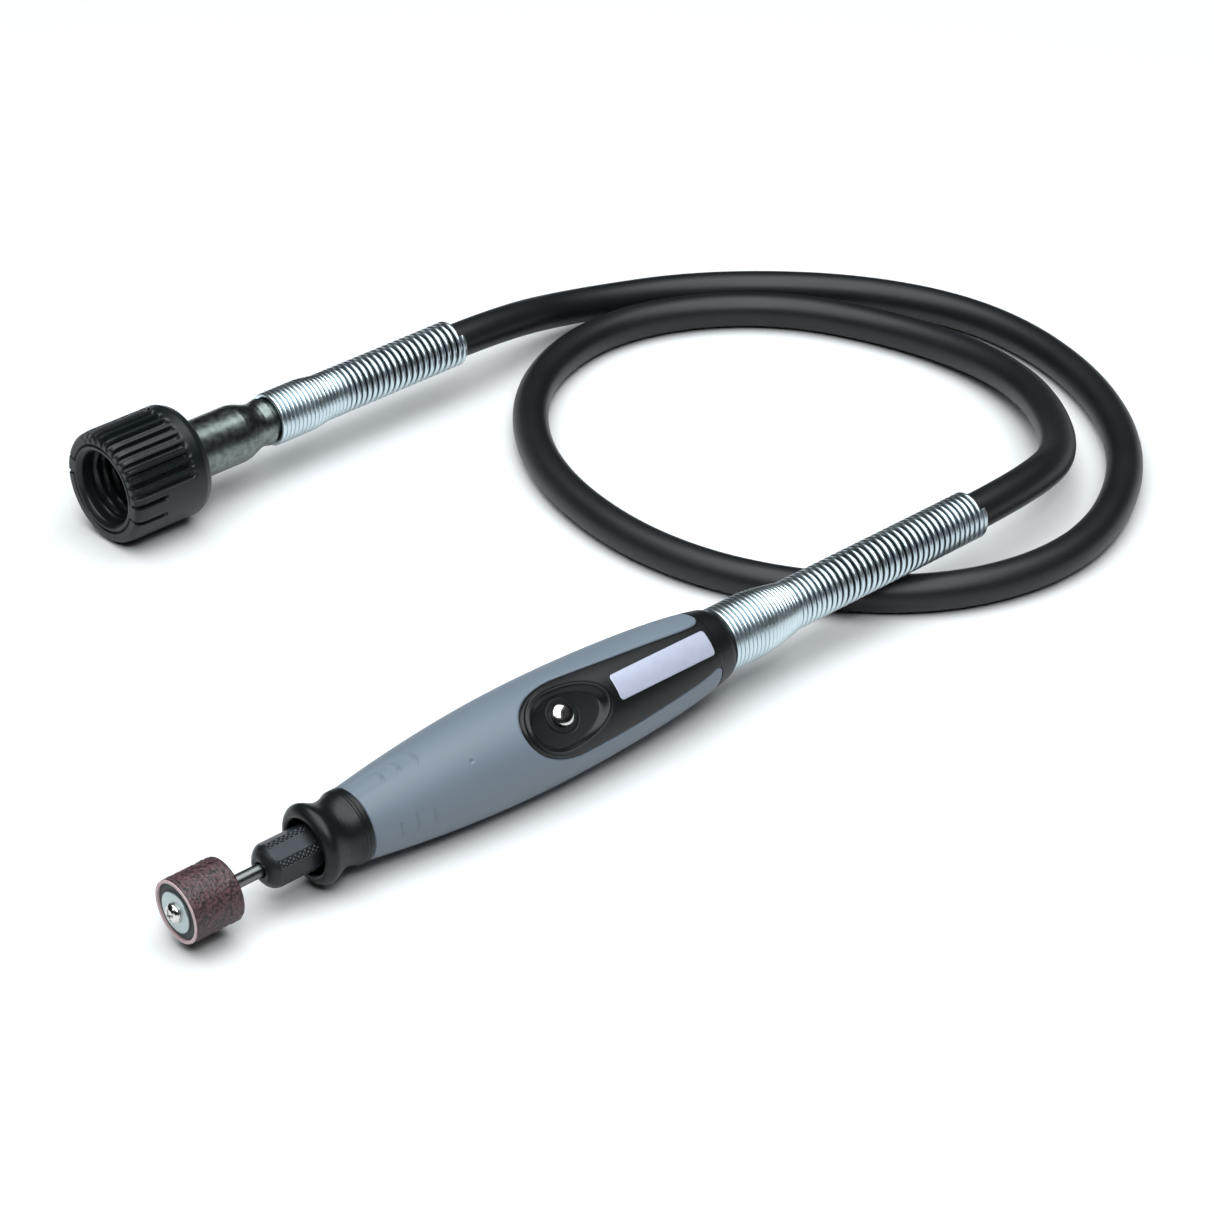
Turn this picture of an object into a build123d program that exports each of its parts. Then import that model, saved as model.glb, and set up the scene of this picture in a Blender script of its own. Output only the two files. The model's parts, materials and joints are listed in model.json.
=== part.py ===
"""Flexible shaft for a rotary tool, lying on a bench, as a set of separate pieces.

Millimetres, +Z up, bench at Z = 0. +X runs from the sanding drum to the rear of the handpiece.
Each turned piece is drawn in a local frame whose X axis is its own axis of rotation:
x = 0 is the front rim of the nose cap on the handpiece, and the mouth of the nut on the coupling.
"""
from build123d import *
import math
import os

# --- Where the two ends lie on the bench
HANDPIECE_TILT = 1.63          # degrees that the handpiece axis rises toward its rear
DECK_ROLL = 45.0               # degrees that the deck with the lock button is rolled toward -Y
COUPLING_YAW = 2.0             # degrees that the coupling axis is turned about Z
HANDPIECE_NOSE = (-85.2, -77.0, 11.11)
COUPLING_MOUTH = (-33.1, 74.1, 15.0)

# --- Handpiece body
GRIP_FRONT, GRIP_REAR, BODY_REAR = 12.8, 113.0, 118.3
BODY_STATIONS = [(GRIP_FRONT, 8.65), (16.5, 9.12), (27.0, 10.55), (41.0, 11.9), (63.0, 12.85),
                 (88.0, 12.15), (105.0, 10.7), (113.0, 9.65), (BODY_REAR, 8.5)]
GRIP_THICKNESS = 1.2
DECK_FRONT, DECK_NOSE_R = 53.7, 9.3
DECK_REAR_HALF = 6.3
DISH_CENTRE, DISH_LENGTH, DISH_WIDTH, DISH_FLOOR = 67.3, 21.0, 12.8, 10.6
PLATE_FRONT, PLATE_LENGTH, PLATE_WIDTH = 81.3, 30.0, 6.4
PLATE_DEPTH, PLATE_PROUD = 0.4, 0.1
CAP_LIP_R, CAP_WAIST_R, CAP_RING_R, CAP_MOUTH_R = 9.55, 7.85, 8.75, 6.6
CAP_SPIGOT_R, CAP_SPIGOT_FRONT, CAP_WEB_FRONT, CAP_WEB_BORE_R = 7.5, 9.5, 8.3, 5.0

# --- Spindle and bearings (6 x 13 x 5 mm ball bearings)
BEARING_BORE_R, BEARING_OD_R, BEARING_WIDTH = 3.0, 6.5, 5.0
BEARING_INNER_R, BEARING_OUTER_R = 4.0, 5.6
BEARING_FRONTS = {"front": 19.0, "rear": 88.0}
BALL_R, BALL_COUNT = 0.78, 8
SPINDLE_THREAD_R, SPINDLE_SHOULDER_R = 3.5, 3.95
SPINDLE_FRONT, SPINDLE_REAR = -6.5, 100.0
DRIVE_SQUARE = 3.2             # across the flats of the core's front tip

# --- Shaft lock
BUTTON_X, BUTTON_R, BUTTON_FLANGE_R, BUTTON_STEM_R = 66.6, 2.7, 3.3, 1.4
BUTTON_TOP, BUTTON_FLANGE_Z, BUTTON_TIP = 12.25, 8.8, 5.2
BUSH_R, BUSH_FLOOR = 4.2, 9.4
LEDGE_TOP = 6.2
COLLAR_R, COLLAR_LENGTH, COLLAR_HOLE_R = 4.9, 13.0, 1.6
HOUSING_BORE_R, HOUSING_REAR_BORE_R = 5.6, 7.6

# --- Chuck and sanding drum (3.175 mm shank)
NUT_NOSE, NUT_REAR, NUT_R, NUT_ACROSS_FLATS = -11.9, 2.0, 5.3, 10.0
SHANK_R, SHANK_REAR = 1.5875, 14.0
COLLET_FRONT, COLLET_BORE_R, COLLET_R = -10.1, 1.64, 2.4
DRUM_FRONT, DRUM_REAR, DRUM_R = -33.5, -21.5, 6.55
BAND_FRONT, BAND_LENGTH, BAND_R, BAND_BORE_R = -33.9, 12.7, 7.6, 6.6
WASHER_R, WASHER_THICKNESS = 4.8, 0.6
SCREW_HEAD_R, SCREW_HEAD_HEIGHT, SCREW_R = 2.35, 1.6, 0.85

# --- Hose, core and strain-relief springs
HOSE_R, HOSE_BORE_R, CORE_R = 4.7, 2.6, 1.9
FRONT_SPRING_END, FRONT_HOSE_END = 203.4, 198.0
MOTOR_SPRING_END, MOTOR_HOSE_END = 114.8, 108.0
COUPLING_EXIT_RUN, HANDPIECE_EXIT_RUN = 22.0, 26.0
HOSE_ROUTE = [                 # corners of the free stretch, between the two straight exits
    (129.0, 85.5, 7.0), (168.0, 73.5, HOSE_R), (200.0, 42.0, HOSE_R),
    (214.0, 5.0, HOSE_R), (206.0, -38.0, HOSE_R), (181.0, -74.0, HOSE_R), (141.0, -95.0, HOSE_R),
    (100.0, -87.0, HOSE_R), (70.0, -54.0, HOSE_R), (59.5, -15.0, HOSE_R), (68.0, 30.0, HOSE_R),
    (96.0, 64.0, HOSE_R), (135.0, 74.5, HOSE_R), (173.0, 55.0, HOSE_R), (192.0, 15.0, HOSE_R),
    (191.0, -26.0, 7.5), (166.0, -64.0, 12.5)]

# --- Motor coupling
NUT_LENGTH, COUPLING_NUT_R, THREAD_R, THREAD_END = 24.0, 15.0, 9.525, 14.5
RIB_PITCH, RIB_GAPS, FIRST_GAP = 10.3, 11, -77.25      # degrees about the axis, from +Z toward +Y
SLOT_ANGLES = (-89.0, -109.0)
FERRULE_R, FERRULE_NECK_R, FERRULE_TAIL_R = 7.6, 5.85, 5.5

HANDPIECE = Pos(*HANDPIECE_NOSE) * Rot(Y=-HANDPIECE_TILT) * Rot(X=DECK_ROLL)
COUPLING = Pos(*COUPLING_MOUTH) * Rot(Z=COUPLING_YAW)


def turned(outline):
    """Solid of revolution about X from a closed outline of (x, radius) points."""
    edge = Polyline(*[(x, 0, r) for x, r in outline], close=True)
    return revolve(make_face(edge), axis=Axis.X)


def rod(x0, x1, radius):
    """Plain cylinder along X."""
    return turned([(x0, 0), (x0, radius), (x1, radius), (x1, 0)])


def ring(x0, x1, inner, outer):
    """Plain tube along X."""
    return turned([(x0, inner), (x0, outer), (x1, outer), (x1, inner)])


def barrel(inset):
    """The handpiece's swelling body, with its surface moved inward by inset."""
    top = Spline(*[(x, 0, r - inset) for x, r in BODY_STATIONS])
    base = Polyline(top @ 1, (BODY_REAR, 0, 0), (GRIP_FRONT, 0, 0), top @ 0)
    return revolve(make_face([top, base]), axis=Axis.X)


def upright(x, radius, z0, z1):
    """Cylinder along the lock button's axis."""
    return Pos(x, 0, (z0 + z1) / 2) * Cylinder(radius, z1 - z0)


def behind(x):
    """Everything behind the plane at x."""
    return Pos(x + 100, 0, 0) * Box(200, 60, 60)


def deck_prism():
    """Column above the moulded deck: a round nose that narrows to the rear collar."""
    centre = DECK_FRONT + DECK_NOSE_R
    nose = ThreePointArc((centre, -DECK_NOSE_R), (DECK_FRONT, 0), (centre, DECK_NOSE_R))
    sides = Polyline((centre, DECK_NOSE_R), (GRIP_REAR + 2, DECK_REAR_HALF),
                     (GRIP_REAR + 2, -DECK_REAR_HALF), (centre, -DECK_NOSE_R))
    return extrude(make_face([nose, sides]), 20)


def plate_prism():
    sketch = RectangleRounded(PLATE_LENGTH, PLATE_WIDTH, 0.9)
    return extrude(Pos(PLATE_FRONT + PLATE_LENGTH / 2, 0, 0) * sketch, 20)


def housing_skin():
    """The black moulding's outside: an inner tube, with the deck and the rear collar full size."""
    full = barrel(0)
    return barrel(GRIP_THICKNESS) + (full & deck_prism()) + (full & behind(GRIP_REAR))


def housing():
    body = housing_skin() + ring(CAP_SPIGOT_FRONT, GRIP_FRONT + 1, BEARING_OD_R, CAP_SPIGOT_R)
    bores = [(CAP_SPIGOT_FRONT - 1, BEARING_FRONTS["front"] + BEARING_WIDTH, BEARING_OD_R),
             (20.0, 90.0, HOUSING_BORE_R),
             (BEARING_FRONTS["rear"], 94.0, BEARING_OD_R),
             (94.0, BODY_REAR + 1, HOUSING_REAR_BORE_R)]
    for x0, x1, radius in bores:
        body -= rod(x0, x1, radius)
    dish = Pos(DISH_CENTRE, 0, DISH_FLOOR) * Ellipse(DISH_LENGTH / 2, DISH_WIDTH / 2)
    body -= extrude(dish, 8)
    body -= upright(BUTTON_X, BUTTON_STEM_R + 0.1, 4.0, 8.0)
    body -= upright(BUTTON_X, BUTTON_FLANGE_R + 0.15, LEDGE_TOP, 9.5)
    body -= upright(BUTTON_X, BUSH_R, BUSH_FLOOR, DISH_FLOOR + 0.5)
    return body - (plate_prism() - barrel(PLATE_DEPTH))


def soft_grip():
    return barrel(0) - housing_skin()


def label_plate():
    return (barrel(-PLATE_PROUD) - barrel(PLATE_DEPTH)) & plate_prism()


def nose_cap():
    """Flared cap: a rounded lip, a waist for the fingers and a rear ring."""
    lip = ThreePointArc((0.6, 0, 8.4), (1.1, 0, 9.25), (2.2, 0, CAP_LIP_R))
    sweep_in = Spline((2.2, 0, CAP_LIP_R), (3.9, 0, 8.9), (6.9, 0, CAP_WAIST_R), (9.4, 0, 8.25),
                      (10.5, 0, CAP_RING_R))
    inside = Polyline((10.5, 0, CAP_RING_R), (GRIP_FRONT, 0, CAP_RING_R),
                      (GRIP_FRONT, 0, CAP_SPIGOT_R), (CAP_SPIGOT_FRONT, 0, CAP_SPIGOT_R),
                      (CAP_SPIGOT_FRONT, 0, CAP_WEB_BORE_R), (CAP_WEB_FRONT, 0, CAP_WEB_BORE_R),
                      (CAP_WEB_FRONT, 0, CAP_MOUTH_R), (0.8, 0, CAP_MOUTH_R), (0.0, 0, 7.4), (0.6, 0, 8.4))
    return revolve(make_face([lip, sweep_in, inside]), axis=Axis.X)


def lock_button():
    """Steel dome, flange and locking pin in one piece, along the deck's normal."""
    head_height = BUTTON_TOP - BUTTON_FLANGE_Z
    cap_rise = 0.9
    dome_r = (BUTTON_R ** 2 + cap_rise ** 2) / (2 * cap_rise)
    head = upright(BUTTON_X, BUTTON_R, BUTTON_FLANGE_Z, BUTTON_FLANGE_Z + head_height)
    head &= Pos(BUTTON_X, 0, BUTTON_TOP - dome_r) * Sphere(dome_r) + upright(
        BUTTON_X, BUTTON_R + 1, BUTTON_FLANGE_Z, BUTTON_TOP - cap_rise)
    flange = upright(BUTTON_X, BUTTON_FLANGE_R, BUTTON_FLANGE_Z, BUTTON_FLANGE_Z + 0.6)
    return head + flange + upright(BUTTON_X, BUTTON_STEM_R, BUTTON_TIP, BUTTON_FLANGE_Z + 0.3)


def lock_spring():
    z0, z1 = LEDGE_TOP, BUTTON_FLANGE_Z
    return upright(BUTTON_X, 2.6, z0, z1) - upright(BUTTON_X, 1.75, z0 - 1, z1 + 1)


def button_bush():
    z0, z1 = BUSH_FLOOR, DISH_FLOOR
    return upright(BUTTON_X, BUSH_R, z0, z1) - upright(BUTTON_X, BUTTON_R + 0.1, z0 - 1, z1 + 1)


def lock_collar():
    """Sleeve on the spindle with four holes, so that the pin can enter every quarter turn."""
    x0 = BUTTON_X - COLLAR_LENGTH / 2
    collar = ring(x0, x0 + COLLAR_LENGTH, BEARING_BORE_R, COLLAR_R)
    for quarter in range(4):
        collar -= Rot(X=90 * quarter) * upright(BUTTON_X, COLLAR_HOLE_R, 0, 8)
    return collar


def spindle():
    body = turned([(SPINDLE_FRONT, 2.45), (SPINDLE_FRONT, SPINDLE_THREAD_R), (4, SPINDLE_THREAD_R),
                   (4, SPINDLE_SHOULDER_R), (19, SPINDLE_SHOULDER_R), (19, BEARING_BORE_R),
                   (SPINDLE_REAR, BEARING_BORE_R), (SPINDLE_REAR, 0), (16, 0), (16, 1.75),
                   (6, 1.75), (4.2, 2.45)])
    socket_length = 12.0
    side = DRIVE_SQUARE + 0.1
    return body - Pos(SPINDLE_REAR - socket_length / 2 + 0.5, 0, 0) * Box(socket_length + 1, side, side)


def collet():
    """Slotted sleeve that grips the shank."""
    body = turned([(COLLET_FRONT, COLLET_BORE_R), (COLLET_FRONT, 2.0), (COLLET_FRONT + 1.4, COLLET_R),
                   (4, COLLET_R), (4, COLLET_BORE_R)])
    for turn in (0, 90):
        body -= Rot(X=turn) * (Pos(COLLET_FRONT + 4.2, 0, 0) * Box(12, 0.5, 8))
    return body


def chuck_nut():
    """Nose nut: six flats between six round strips."""
    body = turned([(NUT_NOSE, 1.8), (NUT_NOSE, 2.9), (NUT_NOSE + 0.3, 3.5), (NUT_NOSE + 1.5, 4.8),
                   (NUT_NOSE + 2.5, NUT_R), (NUT_REAR - 0.5, NUT_R), (NUT_REAR, NUT_R - 0.5),
                   (NUT_REAR, 3.6), (NUT_NOSE + 5.1, 3.6), (NUT_NOSE + 3.6, 2.5), (NUT_NOSE + 1.6, 2.5),
                   (NUT_NOSE + 1.6, 1.8)])
    hexagon = extrude(Plane.YZ * RegularPolygon(NUT_ACROSS_FLATS / 2, 6, major_radius=False), 30)
    return body & Pos(-20, 0, 0) * hexagon + (body & rod(-20, NUT_NOSE + 1.9, 4.95))


def mandrel_shank():
    return rod(DRUM_FRONT + 0.1, SHANK_REAR, SHANK_R) - rod(DRUM_FRONT - 1, -25.0, SCREW_R + 0.05)


def rubber_drum():
    return ring(DRUM_FRONT, DRUM_REAR, SHANK_R, DRUM_R)


def drum_washers():
    front = ring(DRUM_FRONT - WASHER_THICKNESS, DRUM_FRONT, SCREW_R + 0.05, WASHER_R)
    rear = ring(DRUM_REAR, DRUM_REAR + WASHER_THICKNESS, SHANK_R, WASHER_R)
    return Compound(children=[front, rear])


def drum_screw():
    """Pan-head screw with a cross recess."""
    seat = DRUM_FRONT - WASHER_THICKNESS
    tip = seat - SCREW_HEAD_HEIGHT
    head = turned([(seat, 0), (seat, SCREW_HEAD_R), (tip + 0.7, SCREW_HEAD_R), (tip + 0.2, 1.7),
                   (tip, 1.0), (tip, 0)])
    for turn in (0, 90):
        head -= Rot(X=turn) * (Pos(tip, 0, 0) * Box(1.8, 0.5, 2.4))
    return head + rod(seat - 0.1, -26.0, SCREW_R)


def sanding_band():
    return ring(BAND_FRONT, BAND_FRONT + BAND_LENGTH, BAND_BORE_R, BAND_R)


def bearing_balls(front):
    """Free balls halfway between the rings."""
    middle = front + BEARING_WIDTH / 2
    pitch_r = (BEARING_INNER_R + BEARING_OUTER_R) / 2
    balls = []
    for index in range(BALL_COUNT):
        spot = Rot(X=360 * index / BALL_COUNT) * Pos(middle, 0, pitch_r)
        balls.append(spot * Sphere(BALL_R))
    return Compound(children=balls)


def sleeve(stations, wall):
    """Spring as a wound sleeve: outer radius by station, wall one wire thick."""
    outer = [(x, r) for x, r in stations]
    inner = [(x, r - wall) for x, r in reversed(stations)]
    return turned(outer + inner)


def hose_socket():
    """Sleeve pressed into the housing's rear, with the spigot that carries the front spring."""
    return turned([(94.2, 5.45), (94.2, HOUSING_REAR_BORE_R), (BODY_REAR, HOUSING_REAR_BORE_R),
                   (BODY_REAR, 6.65), (131.5, 6.65), (131.5, 5.45)])


def hose_ferrule():
    return turned([(104.5, 2.6), (104.5, 5.4), (130.0, 5.4), (130.0, HOSE_R), (106.0, HOSE_R),
                   (106.0, 2.6)])


def core_front_tip():
    """Swaged end of the core: round root and a square tip that drives the spindle."""
    square = Pos(94.5, 0, 0) * Box(11, DRIVE_SQUARE, DRIVE_SQUARE)
    return square + rod(SPINDLE_REAR + 0.3, 106.0, 2.3) + rod(99.5, 101, 1.5)


def ferrule():
    """Swaged steel sleeve of the coupling, with the flange that the nut pulls on."""
    outline = [(17.0, 6.2), (17.0, 9.0), (19.2, 9.0), (19.2, FERRULE_R), (41.5, FERRULE_R), (43.0, 7.35),
               (46.8, 6.0), (48.2, FERRULE_NECK_R), (50.8, 6.35), (50.8, FERRULE_TAIL_R),
               (62.0, FERRULE_TAIL_R), (62.0, HOSE_R), (44.5, HOSE_R), (44.5, 2.6), (41.5, 2.6),
               (41.5, 6.2)]
    return turned(outline)


def drive_bush():
    return ring(19.0, 32.0, 2.6, 6.2)


def drive_tip():
    """Square driver that the motor's adapter turns."""
    square = Pos(17.75, 0, 0) * Box(4.5, DRIVE_SQUARE, DRIVE_SQUARE)
    return square + rod(19.0, 35.0, 2.5)


def thrust_washer():
    return ring(19.3, 19.9, 7.75, 9.1)


def coupling_nut():
    """Moulded nut with two groups of finger ribs, two slotted panels and the motor's thread inside."""
    radius = COUPLING_NUT_R
    body = turned([(0, THREAD_R + 1.2), (0, radius - 1.2), (0.9, radius - 0.3), (3.0, radius),
                   (21.6, radius), (23.4, radius - 1.0), (NUT_LENGTH, radius - 1.9), (NUT_LENGTH, 7.8),
                   (20.0, 7.8), (20.0, 9.7), (THREAD_END, 9.7), (THREAD_END, THREAD_R), (1.2, THREAD_R)])
    slot = Pos(4.0, 0, radius) * Box(10.6, 1.1, 2.4)
    for side, groove_front in ((0, -1.5), (180, 4.0)):
        groove_rear = 18.5
        groove = Pos((groove_front + groove_rear) / 2, 0, radius) * Box(groove_rear - groove_front, 1.5, 2.2)
        for gap in range(RIB_GAPS):
            body -= Rot(X=-(FIRST_GAP + RIB_PITCH * gap + side)) * groove
        for angle in SLOT_ANGLES:
            body -= Rot(X=-(angle + side)) * slot
    return body


def hose_path():
    """Corners of the free stretch, from the coupling's spring to the handpiece's spring."""
    leaving = [COUPLING * Pos(x, 0, 0) for x in (MOTOR_HOSE_END, MOTOR_HOSE_END + COUPLING_EXIT_RUN)]
    arriving = [HANDPIECE * Pos(x, 0, 0) for x in (FRONT_HOSE_END + HANDPIECE_EXIT_RUN, FRONT_HOSE_END)]
    middle = [Vector(*corner) for corner in HOSE_ROUTE]
    return [spot.position for spot in leaving] + middle + [spot.position for spot in arriving]


def bend_radii(points):
    """Each bend is as large as its two runs allow: 0.45 of the shorter, over tan(half the turn)."""
    radii = []
    for before, corner, after in zip(points, points[1:], points[2:]):
        run_in, run_out = corner - before, after - corner
        half = math.radians(run_in.get_angle(run_out)) / 2
        radii.append(0.45 * min(run_in.length, run_out.length) / math.tan(half))
    return radii


def swept(path, outer, inner=0.0):
    """Round rod or tube along the path."""
    section = Plane(origin=path @ 0, z_dir=path % 0) * Circle(outer)
    if inner:
        section -= Plane(origin=path @ 0, z_dir=path % 0) * Circle(inner)
    return sweep(section, path=path)


def main():
    os.makedirs("parts", exist_ok=True)
    pieces = {
        "housing": housing(), "soft_grip": soft_grip(), "nose_cap": nose_cap(),
        "label_plate": label_plate(), "button_bush": button_bush(), "lock_button": lock_button(),
        "lock_spring": lock_spring(), "lock_collar": lock_collar(), "spindle": spindle(),
        "collet": collet(), "chuck_nut": chuck_nut(), "mandrel_shank": mandrel_shank(),
        "rubber_drum": rubber_drum(), "drum_washers": drum_washers(), "drum_screw": drum_screw(),
        "sanding_band": sanding_band(), "hose_socket": hose_socket(), "hose_ferrule": hose_ferrule(),
        "core_front_tip": core_front_tip(),
        "core_handpiece_end": rod(106.0, FRONT_HOSE_END, CORE_R),
        "hose_handpiece_end": ring(106.0, FRONT_HOSE_END, HOSE_BORE_R, HOSE_R),
        "bearing_clip": ring(18.0, 19.0, 5.2, BEARING_OD_R),
        "preload_washer": ring(93.2, 94.0, 4.9, 6.4),
        "front_spring": sleeve([(118.5, 8.0), (131.4, 8.0), (141.0, 6.2), (FRONT_SPRING_END, 6.2)], 1.25),
    }
    for side, front in BEARING_FRONTS.items():
        rear = front + BEARING_WIDTH
        pieces[side + "_bearing_inner"] = ring(front, rear, BEARING_BORE_R, BEARING_INNER_R)
        pieces[side + "_bearing_outer"] = ring(front, rear, BEARING_OUTER_R, BEARING_OD_R)
        pieces[side + "_bearing_balls"] = bearing_balls(front)
    placed = {name: HANDPIECE * piece for name, piece in pieces.items()}

    coupling = {
        "coupling_nut": coupling_nut(), "thrust_washer": thrust_washer(), "ferrule": ferrule(),
        "drive_bush": drive_bush(), "drive_tip": drive_tip(),
        "core_motor_end": rod(35.0, MOTOR_HOSE_END, CORE_R),
        "hose_motor_end": ring(44.5, MOTOR_HOSE_END, HOSE_BORE_R, HOSE_R),
        "motor_spring": sleeve([(50.9, 7.0), (63.4, 7.0), (68.0, 6.3), (MOTOR_SPRING_END, 6.3)], 1.4),
    }
    placed.update({name: COUPLING * piece for name, piece in coupling.items()})

    corners = hose_path()
    radii = bend_radii(corners)
    path = FilletPolyline(*corners, radius=radii)
    placed["hose_sheath"] = swept(path, HOSE_R, HOSE_BORE_R)
    placed["flex_core"] = swept(path, CORE_R)
    print("bend radii", [round(r) for r in radii])
    section = math.pi * (HOSE_R ** 2 - HOSE_BORE_R ** 2)
    print("free hose", round(path.length, 1), "volume check",
          round(placed["hose_sheath"].volume / (section * path.length), 4))

    for name, piece in placed.items():
        export_step(piece, f"parts/{name}.step")
    on_cord = ("hose_sheath", "flex_core")
    box = Compound(children=[p for n, p in placed.items() if n not in on_cord]).bounding_box()
    print("object without the hose:", box.min, box.max, "centre", box.center())


main()
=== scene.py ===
# %% [markdown]
# # A flexible shaft for a rotary tool
# A flexible shaft carries the power of a hand-held motor to a slim handpiece. One end is a pencil grip
# with a chuck, which here holds a sanding drum. The other end is a threaded nut that screws on the motor.
# Between them runs a rubber hose with a wound wire core turning inside it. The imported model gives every
# piece its place and size. This lesson dresses those pieces: each new surface is worked out as an array
# of points, and each finish is a small network of nodes.

# %% Load the model
import json
import math

import bpy
import bmesh
import numpy as np
from mathutils import Matrix, Vector


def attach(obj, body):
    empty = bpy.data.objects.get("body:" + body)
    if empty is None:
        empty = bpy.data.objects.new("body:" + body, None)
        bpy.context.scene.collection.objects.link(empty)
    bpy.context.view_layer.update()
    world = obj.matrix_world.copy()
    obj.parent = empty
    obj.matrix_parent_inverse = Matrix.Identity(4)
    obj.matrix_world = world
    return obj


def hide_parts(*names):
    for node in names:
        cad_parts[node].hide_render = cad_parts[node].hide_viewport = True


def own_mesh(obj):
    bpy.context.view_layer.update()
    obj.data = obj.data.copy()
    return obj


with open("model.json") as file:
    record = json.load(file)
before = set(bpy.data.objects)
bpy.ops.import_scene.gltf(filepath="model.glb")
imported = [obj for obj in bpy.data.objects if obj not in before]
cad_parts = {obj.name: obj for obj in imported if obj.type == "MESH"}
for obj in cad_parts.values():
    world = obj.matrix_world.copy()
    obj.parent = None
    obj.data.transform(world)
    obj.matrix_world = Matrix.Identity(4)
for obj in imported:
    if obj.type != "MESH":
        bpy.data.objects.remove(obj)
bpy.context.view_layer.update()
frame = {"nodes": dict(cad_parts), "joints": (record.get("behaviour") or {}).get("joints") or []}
nodes = frame["nodes"]

# %% [markdown]
# ## Two local frames
# Nearly everything is turned, so its shape is simplest along its own axis. The handpiece and the motor
# coupling each get a frame: an origin, an x axis along the shaft toward the hose, and two cross axes.
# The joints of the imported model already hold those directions. Lengths in the local frames are in
# millimetres, and `put` turns local points into metres in the model's frame.

# %% Local frames
MM = 0.001
joints = {joint["name"]: joint for joint in frame["joints"]}


def local_frame(origin, along, up):
    """Origin in millimetres, with an orthonormal set: x along the shaft, z toward up, y = z cross x."""
    x = np.array(along) / np.linalg.norm(along)
    z = np.array(up) - x * np.dot(up, x)
    z = z / np.linalg.norm(z)
    return np.array(origin, float), x, np.cross(z, x), z


HAND = local_frame((-85.2, -77.0, 11.11), joints["spindle_spin"]["axis"],
                   -np.array(joints["lock_press"]["axis"]))
MOTOR = local_frame((-33.1, 74.1, 15.0), joints["coupling_nut_spin"]["axis"], (0, 0, 1))


def put(local, where):
    """Local (x, y, z) in millimetres become origin + x X + y Y + z Z, in metres."""
    origin, ex, ey, ez = where
    local = np.asarray(local, float)
    world = origin + local[..., 0:1] * ex + local[..., 1:2] * ey + local[..., 2:3] * ez
    return world * MM


def polar(x, radius, angle):
    """A point at height x along the axis, at a radius, turned by angle from the local z axis."""
    x, radius, angle = np.broadcast_arrays(x, radius, angle)
    return np.stack([x, radius * np.sin(angle), radius * np.cos(angle)], -1)


print("handpiece axis", np.round(HAND[1], 4), "coupling axis", np.round(MOTOR[1], 4))

# %% [markdown]
# ## From an array of points to a mesh
# A surface is a grid: rows of points, each row joined to the next by four-sided faces. Where the first
# and last column meet, merging the doubled points closes the seam. Where a whole row falls on one
# point, the same merge closes a pole. A closed mesh then has its faces turned outward in one step.

# %% Mesh helpers
def smooth(mesh, angle=40):
    """Shades the faces smoothly, and keeps edges sharper than the angle crisp."""
    mesh.polygons.foreach_set("use_smooth", np.ones(len(mesh.polygons), bool))
    mesh.set_sharp_from_angle(angle=math.radians(angle))


def grid_faces(rows, columns, start=0):
    """Vertex numbers of the quads between neighbouring rows and columns, as an array of fours."""
    index = np.arange(rows * columns).reshape(rows, columns) + start
    return np.stack([index[:-1, :-1], index[1:, :-1], index[1:, 1:], index[:-1, 1:]], -1).reshape(-1, 4)


def make_piece(name, grids, body, finish, replaces=(), angle=40, merge=2e-6):
    """Joins one or more grids of points (rows, columns, 3) in metres into one piece of the object."""
    points, faces, start = [], [], 0
    for grid in grids:
        rows, columns = grid.shape[:2]
        points.append(grid.reshape(-1, 3))
        faces.append(grid_faces(rows, columns, start))
        start += rows * columns
    mesh = bpy.data.meshes.new(name)
    mesh.from_pydata(np.concatenate(points).tolist(), [], np.concatenate(faces).tolist())
    work = bmesh.new()
    work.from_mesh(mesh)
    bmesh.ops.remove_doubles(work, verts=work.verts, dist=merge)
    bmesh.ops.dissolve_degenerate(work, edges=work.edges, dist=merge / 2)
    bmesh.ops.recalc_face_normals(work, faces=work.faces)
    work.to_mesh(mesh)
    work.free()
    smooth(mesh, angle)
    mesh.materials.append(finish)
    piece = bpy.data.objects.new(name, mesh)
    bpy.context.scene.collection.objects.link(piece)
    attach(piece, body)
    if replaces:
        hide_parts(*replaces)
    print(name, "faces", len(mesh.polygons))
    return piece


def add_wall(piece, thickness):
    """Gives an open shell a wall, grown inward, so that the piece is a closed solid."""
    wall = piece.modifiers.new("wall", "SOLIDIFY")
    wall.thickness = thickness * MM
    wall.offset = -1.0
    wall.use_even_offset = False
    return piece


def soften(outline, radius, steps=4):
    """Rounds the corners of a closed outline of (x, r) points: each corner becomes an arc that meets
    both sides at a distance of radius times tan(half the turn), or at 0.45 of the shorter side."""
    outline = np.array(outline, float)
    rounded = []
    for before, corner, after in zip(np.roll(outline, 1, 0), outline, np.roll(outline, -1, 0)):
        into, out = corner - before, after - corner
        long_in, long_out = np.linalg.norm(into), np.linalg.norm(out)
        into, out = into / long_in, out / long_out
        turn = math.acos(np.clip(into @ out, -1, 1))
        cut = min(radius * math.tan(turn / 2), 0.45 * min(long_in, long_out))
        share = np.linspace(0, 1, steps + 1)[:, None]
        first, last = corner - into * cut, corner + out * cut
        rounded.append((1 - share) ** 2 * first + 2 * share * (1 - share) * corner + share ** 2 * last)
    return np.concatenate(rounded)


def lathe(outline, where, sides=96):
    """A closed outline of (x, r) points turned full circle about the local axis."""
    outline = np.vstack([outline, outline[:1]])
    angle = np.linspace(0, 2 * math.pi, sides + 1)
    return put(polar(outline[:, 0][:, None], outline[:, 1][:, None], angle[None, :]), where)


def step_between(value, low, high):
    """Smooth rise from 0 at low to 1 at high."""
    share = np.clip((value - low) / (high - low), 0, 1)
    return share * share * (3 - 2 * share)


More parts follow.
